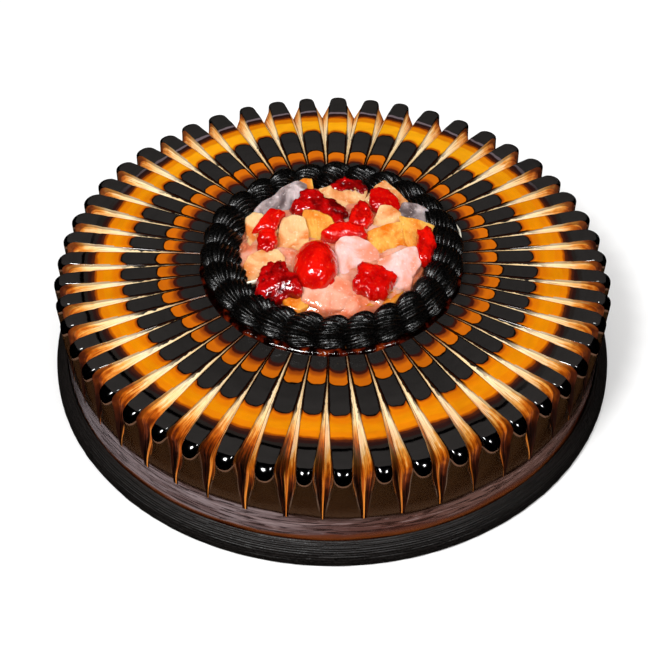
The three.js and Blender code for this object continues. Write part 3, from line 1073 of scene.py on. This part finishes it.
# Painted shade: down in its folds the flesh is laid deeper and made darker.
fold = tree.nodes.new("ShaderNodeAttribute")
fold.attribute_name = "Fold"
valley = fall(Output(fold.outputs["Fac"]), -.4, 0)
body = lay(valley * .6, body, inputs["Deep"])
put_out(
    outputs, Colour=tint(body, 1 - valley * .25), Relief=cloud(vector, .45, 1) + fibres * .15
)

# %% Materials: fruit
FRUIT_FINISHES = {  # pale, deep, speck, drift, specks, fibre, relief in mm, glow
    "red_cherry": (srgb(220, 20, 7), srgb(180, 5, 5), srgb(246, 76, 36), .1, .3, .1, .7, .3),
    "dark_cherry": (srgb(182, 11, 12), srgb(88, 2, 6), srgb(216, 42, 36), .14, .3, .1, .9, .2),
    "orange_fruit": (srgb(248, 180, 86), srgb(230, 116, 26), srgb(253, 216, 150), .13, .4, .8, .45, .5),
    "pale_fruit": (srgb(247, 196, 142), srgb(224, 128, 64), srgb(255, 236, 208), .12, .4, .5, .4, .5),
    "pink_fruit": (srgb(251, 203, 198), srgb(240, 144, 114), srgb(255, 238, 236), .1, .4, .4, .45, .5),
    "rosy_fruit": (srgb(247, 184, 160), srgb(233, 122, 84), srgb(255, 228, 216), .1, .4, .4, .5, .5),
    "smoky_fruit": (srgb(216, 198, 198), srgb(96, 82, 82), srgb(250, 235, 232), .12, .4, .5, .4, .4),
}
fruit_materials = {}
for name, (pale, deep, speck, drift, specks, fibre, relief, glow) in FRUIT_FINISHES.items():
    material, tree, shader = new_material(
        name, Roughness=.12, Coat_Weight=1.0, Coat_Roughness=.02, Subsurface_Weight=glow,
        Subsurface_Scale=.006,
    )
    shader["Subsurface Radius"].default_value = (1.0, .45, .3)
    flesh = use_group(
        tree, "Fruit flesh", Pale=pale, Deep=deep, Speck=speck, Drift=drift, Specks=specks,
        Fibre=fibre,
    )
    paint(shader, flesh["Colour"], flesh["Relief"], relief)
    fruit_materials[name] = material
fruit_materials["cream"] = new_material("cream", Base_Color=srgb(255, 246, 224), Roughness=.3)[0]

# %% [markdown]
# ## The fruit
#
# Every piece starts as a ball of small triangles. Its girth is pulled out to the outline of
# the piece, which is a few listed corners, and its top and bottom are made as thick
# and as square as the piece is. It then leans a little to the front, gets flat cuts where a
# knife went through, and is folded and crinkled as far as the real piece is. How high each
# point lies in its fold is kept with the mesh, for painted shade to make the flesh deeper
# and darker down there. The bed of syrup under the heap and the two bits of cream are made in the same
# way.

# %% Kinds and outlines of the fruit
def oval(half_width, half_depth):
    """The outline of a round piece."""
    turns = np.linspace(0, 2 * math.pi, 24, endpoint=False)
    return [(half_width * math.cos(turn), half_depth * math.sin(turn)) for turn in turns]


FRUIT_KINDS = {  # thickness above and below the middle, squareness, lean, cuts, folds, crinkles in mm
    "ball": (10.2, 10.2, 1, 0, 0, .05, .03),
    "torn": (3.4, 4, .6, 18, 0, .75, .1),
    "jammy": (4, 5, .65, 20, 0, 1.0, .12),
    "half": (3.4, 3.6, .6, 20, 0, .35, .05),
    "chunk": (3.2, 9, .48, 18, 2, .28, .03),
    "bed": (10.6, .6, .55, 0, 0, .7, .06),
    "chip": (.7, .7, .6, 0, 0, .05, .02),
}
FRUIT = {  # kind, finish, middle, outline in mm from the middle
    "cherry_whole": ("ball", "red_cherry", (-6.6, -16.8, 59.4), oval(8.9, 12.6)),
    "cherry_torn_front": ("torn", "red_cherry", (15.2, -24.6, 60), [
        (-6, 5.5), (-4.5, 7), (0, 6), (3.5, 5.5), (7, 3.5), (9.5, 2.5), (6.5, -3), (5, -6.5),
        (-.5, -7), (-6.5, -4.5), (-8, -2), (-5.5, 2.5),
    ]),
    "cherry_dark": ("jammy", "dark_cherry", (-21, -24.8, 59), [
        (1, 8.5), (3, 7), (4, 3.5), (7, 1), (9.5, -3), (9, -6), (4, -6.5), (-2.5, -8), (-8.5, -7),
        (-9, -1), (-6.5, 5), (-4, 7), (-1.5, 7),
    ]),
    "cherry_half_left": ("half", "red_cherry", (-25.4, 7.2, 60.6), [
        (-7.5, -3.5), (-5.5, -1), (-2.5, 3), (.5, 6), (5.5, 4.5), (7, 3), (4.5, 1), (3.5, -2.5),
        (2.5, -4.5), (-3.5, -3.5),
    ]),
    "cherry_scrap_left": ("torn", "red_cherry", (-26, -4.2, 60), [
        (-3, 6), (3.5, 5.5), (4, -.5), (3.5, -3.5), (-1.5, -4.5), (-3.5, -2), (-4, 2),
    ]),
    "cherry_cluster": ("jammy", "dark_cherry", (-6.2, 15.6, 60.2), [
        (-7.5, 8), (-2, 9), (3.5, 5.5), (7.5, 4), (11.5, 0), (12, -4), (9, -8.5), (3, -9),
        (-.5, -6.5), (-5.5, -2), (-10.5, -1.5), (-12, .5), (-9, 4),
    ]),
    "cherry_strip": ("torn", "red_cherry", (5.2, 1, 61.5), [
        (-10, -1), (-8, 1.5), (-3, 3.5), (2.5, 3.5), (8.5, 1.5), (8, -2.5), (5.5, -3), (-.5, -2.5),
        (-6, -4),
    ]),
    "cherry_lump_mid": ("jammy", "red_cherry", (12.4, 12.2, 60.4), [
        (-6, .5), (-4, 3), (-1.5, 5.5), (1.5, 5.5), (4, 2), (3.5, -4.5), (1, -7), (-3.5, -7.5),
        (-5.5, -4.5),
    ]),
    "cherry_half_back": ("half", "red_cherry", (20.6, 21.6, 59.6), [
        (-6, -.5), (-5, 4), (-2, 6), (2, 5.5), (6, 2), (8.5, -4), (6.5, -7), (1, -5), (-3, -4.5),
        (-5.5, -3),
    ]),
    "cherry_back": ("torn", "dark_cherry", (6.6, 30, 58.8), [
        (-8, 1), (-5, 3.8), (-1, 4.6), (6, 3.8), (8.2, 0), (6, -3.2), (.5, -3.4), (-5, -2.5),
    ]),
    "cherry_right": ("torn", "red_cherry", (34.6, -3.4, 59.5), [
        (-1.5, 5.5), (1, 5.5), (3.5, 9), (6, 4.5), (6.5, 0), (4, -6.5), (1.5, -9), (-.5, -8),
        (-1.5, -2.5), (-1, 2),
    ]),
    "orange_segment": ("chunk", "orange_fruit", (21.4, -.8, 58.2), [
        (-8, 2.5), (0, 7), (6, 9), (8.5, 5), (9, -2.5), (4, -6), (-4, -8.5), (-7, -4.5),
    ]),
    "pear_centre_left": ("chunk", "pale_fruit", (-16.4, -4.4, 57.4), [
        (-4, 13), (0, 15), (5.5, 13), (7, 6), (7, -4), (5, -12), (0, -11), (-6, -7), (-6, 4),
    ]),
    "lychee_centre": ("chunk", "pink_fruit", (9.4, -11.6, 58.5), [
        (-8.5, 5.5), (-6, 9), (0, 9.8), (5, 8), (9, 3), (9, -4), (4, -10), (-2, -12), (-7.5, -11),
        (-9, -2),
    ]),
    "lychee_right": ("chunk", "pink_fruit", (24.4, -16.8, 57.5), [
        (-7, 3), (-1, 6.5), (5.5, 10.5), (9, 11), (10.5, 4), (7, -2), (6, -7.5), (-1, -9.5),
        (-6, -8), (-8, -2),
    ]),
    "lychee_front": ("chunk", "rosy_fruit", (-1.6, -31, 56.5), [
        (-10.5, 4.5), (-4, 8), (3, 9), (9, 6), (12.5, 1), (9.5, -3), (4.5, -6), (-3, -6), (-10.5, -2),
    ]),
    "peach_top_right": ("chunk", "pale_fruit", (21.6, 11.2, 57.9), [
        (-6.5, -6), (-5, 0), (-2.5, 6.5), (2.5, 7), (6.5, 3.5), (6.5, -3), (0, -6),
    ]),
    "orange_wedge_right": ("chunk", "orange_fruit", (33.6, 3.6, 57), [
        (-7, 7), (1.5, 7), (7.5, 6), (8, -1), (5, -8), (0, -11.5), (-3, -10), (-5, -5),
    ]),
    "peach_under_cluster": ("chunk", "orange_fruit", (-3.4, 5.2, 59), [
        (-8.5, 9), (-3, 8), (3, 5), (6, -1), (3, -5), (-3, -6), (-9, -3),
    ]),
    "pear_left": ("chunk", "pale_fruit", (-29.4, 3.6, 56.8), [
        (-6, 8.5), (-3, 11), (1, 9.5), (8, 2), (8.5, -7), (4.5, -11.5), (-4, -10), (-5, -.5),
    ]),
    "pear_low_left": ("chunk", "pale_fruit", (-27.6, -11.8, 57), [
        (-7.5, -.5), (-6, 3), (0, 5), (6, 4.5), (9, 0), (8, -7), (2, -9), (-4, -8.5), (-7, -6),
    ]),
    "lychee_slice_back": ("chunk", "smoky_fruit", (-21.6, 22.4, 57.6), [
        (-11.5, -2.5), (-7, 1.5), (-2, 3.5), (1, 7), (7, 9.5), (11, 8), (11, 3), (7, -3), (0, -6),
        (-7, -6),
    ]),
    "peach_back": ("chunk", "pale_fruit", (5, 24, 57.6), [
        (-11, 5), (-3.5, 7.5), (3, 7.5), (9.5, 5), (8, -1), (2, -6), (-3, -5), (-9, -1),
    ]),
    "peach_curl_back": ("chunk", "orange_fruit", (-9.4, 31, 58), [
        (-5, 3), (-2.5, 4.8), (1, 4), (2, -1), (-1, -3), (-4, -1),
    ]),
    "pear_wedge_back": ("chunk", "pale_fruit", (22.4, 26.6, 56.9), [
        (-9, -2), (-5.5, 4), (-1, 8), (4, 4), (10, -1.5), (8, -7), (0, -8), (-6, -6),
    ]),
    "lychee_smoky_right": ("chunk", "smoky_fruit", (32.8, 14.8, 56.4), [
        (-7, -1), (-4.5, 6), (2, 6.5), (7, 4.5), (10, -1.5), (5, -5), (-4, -6),
    ]),
    "peach_front_left": ("chunk", "orange_fruit", (-14.8, -33, 55), [
        (-5, 2), (0, 5), (5, 4), (5.5, -2), (2, -4.5), (-3, -3.5),
    ]),
    "peach_front_right": ("chunk", "orange_fruit", (19.6, -29.4, 53.6), [
        (-13, -3), (-10, 1), (-2, 3), (3, 6), (8.5, 5), (6, -.5), (1, -3.5), (-6, -4), (-11.5, -5.5),
    ]),
    "torn flap": ("torn", "red_cherry", (-1, -25, 57.5), [
        (-2, -2), (0, .5), (2.5, 1.5), (1.5, -2), (.5, -4), (-1, -3),
    ]),
    "syrup": ("bed", "rosy_fruit", (0, -.5, 49), oval(38.5, 38.5)),
    "cream fleck": ("chip", "cream", (-31, -23, 58), [
        (-2.6, -.4), (-2.4, -1.2), (2.2, .2), (2.6, 1.2), (1.8, 1.2),
    ]),
    "cream thread": ("chip", "cream", (52, 17, 49), [
        (-2.4, 5.7), (-.8, 3.5), (.5, 0), (.8, -5), (.2, -5.1), (-.4, -.1), (-1.6, 3.2), (-2.7, 5.3),
    ]),
}
print("outlines:", len(FRUIT), "of", len(FRUIT_KINDS), "kinds")

# %% From a ball to a piece of fruit
HEAP_ROUND = 130  # the heap's top is part of a ball of this radius
CORNER_BLUR = .05  # radians to each side over which the corners of an outline are softened
GIRTH = 8
NEVER_NOUGHT = 1e-9


def reach_of(outline, bearing):
    """How far the outline is from the middle in each direction."""
    start = np.array(outline)
    edge = np.roll(start, -1, 0) - start
    ray = np.stack([np.cos(bearing), np.sin(bearing)], -1)
    turn_of_edge = start[:, 0] * edge[:, 1] - start[:, 1] * edge[:, 0]
    facing = ray[:, :1] * edge[:, 1] - ray[:, 1:] * edge[:, 0]
    facing = np.where(facing == 0, NEVER_NOUGHT, facing)
    distance = turn_of_edge / facing
    along = (start[:, 0] * ray[:, 1:] - start[:, 1] * ray[:, :1]) / facing
    hit = (distance > 0) & (along >= -1e-6) & (along <= 1 + 1e-6)
    return np.where(hit, distance, 0).max(1)


def wrinkle(points, seed, size):
    """A seeded noise at each point, finer as the size grows."""
    shift = Vector((seed * 7.3, 0, 0))
    return np.array([noise.fractal(Vector(point) * size + shift, .8, 2, 4) for point in points])


def fruit_form(unit, seed, middle, outline, kind):
    """The piece's points, from the points of a ball of radius 1."""
    up, down, square, lean, cuts, folds, crinkles = FRUIT_KINDS[kind]
    source = seeded_random(seed)
    bearing = np.arctan2(unit[:, 1], unit[:, 0])
    blurred = [reach_of(outline, bearing + turn) for turn in (-CORNER_BLUR, 0, CORNER_BLUR)]
    girth = np.column_stack([np.cos(bearing), np.sin(bearing), 0 * bearing]) * GIRTH
    ragged = 1 + crinkles * wrinkle(girth, seed, .5)
    level = np.hypot(unit[:, 0], unit[:, 1]) ** square * np.mean(blurred, axis=0) * ragged
    plan = np.stack([np.cos(bearing), np.sin(bearing)], -1) * level[:, None]
    height = np.sign(unit[:, 2]) * np.abs(unit[:, 2]) ** square * np.where(unit[:, 2] > 0, up, down)
    for _ in range(cuts):
        turn = next(source) * 2 * math.pi
        slope = .2 + .5 * next(source)
        out = plan @ np.array([math.cos(turn), math.sin(turn)]) / level.max()
        height = np.minimum(height, up * (.7 + .25 * next(source) - slope * out))
    height = height + plan[:, 1] * math.tan(math.radians(lean))
    if lean:
        height = height - plan[:, 0] * middle[0] / HEAP_ROUND
    form = np.column_stack([plan, height])
    fold = wrinkle(form, seed, .19)
    crinkle = wrinkle(form, seed + 50, .4)
    form += unit * (folds * fold + crinkles * crinkle)[:, None]
    return form + np.array(middle), folds ** 2 * (fold + .2 * crinkle)

# %% The heap of fruit
SLOTS = {"cream": "pale_fruit", "rosy_fruit": "pink_fruit"}  # the others have their own name
FRUIT_FLOOR = CAKE_TOP + .3
FIRST_SEED = 7
clear_selection()
bpy.ops.mesh.primitive_ico_sphere_add(subdivisions=5, radius=1)
ball = bpy.context.object
ball_points = read_points(ball.data)
ball_points /= np.linalg.norm(ball_points, axis=1)[:, None]
for number, (node, (kind, finish, middle, outline)) in enumerate(FRUIT.items()):
    piece = copy_of(ball)
    placed, fold = fruit_form(ball_points, number + FIRST_SEED, middle, outline, kind)
    placed[:, 2] = np.maximum(placed[:, 2], FRUIT_FLOOR)
    write_points(piece.data, placed)
    piece.data.attributes.new("Fold", "FLOAT", "POINT").data.foreach_set("value", fold)
    replaced = [node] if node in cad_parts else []
    slot = SLOTS.get(finish, finish)
    name = "fruit_" + node.replace(" ", "_")
    finish_piece(name, [fruit_materials[finish]], slot, *replaced, angle=60)
bpy.data.objects.remove(ball)
print("fruit pieces:", len(FRUIT))
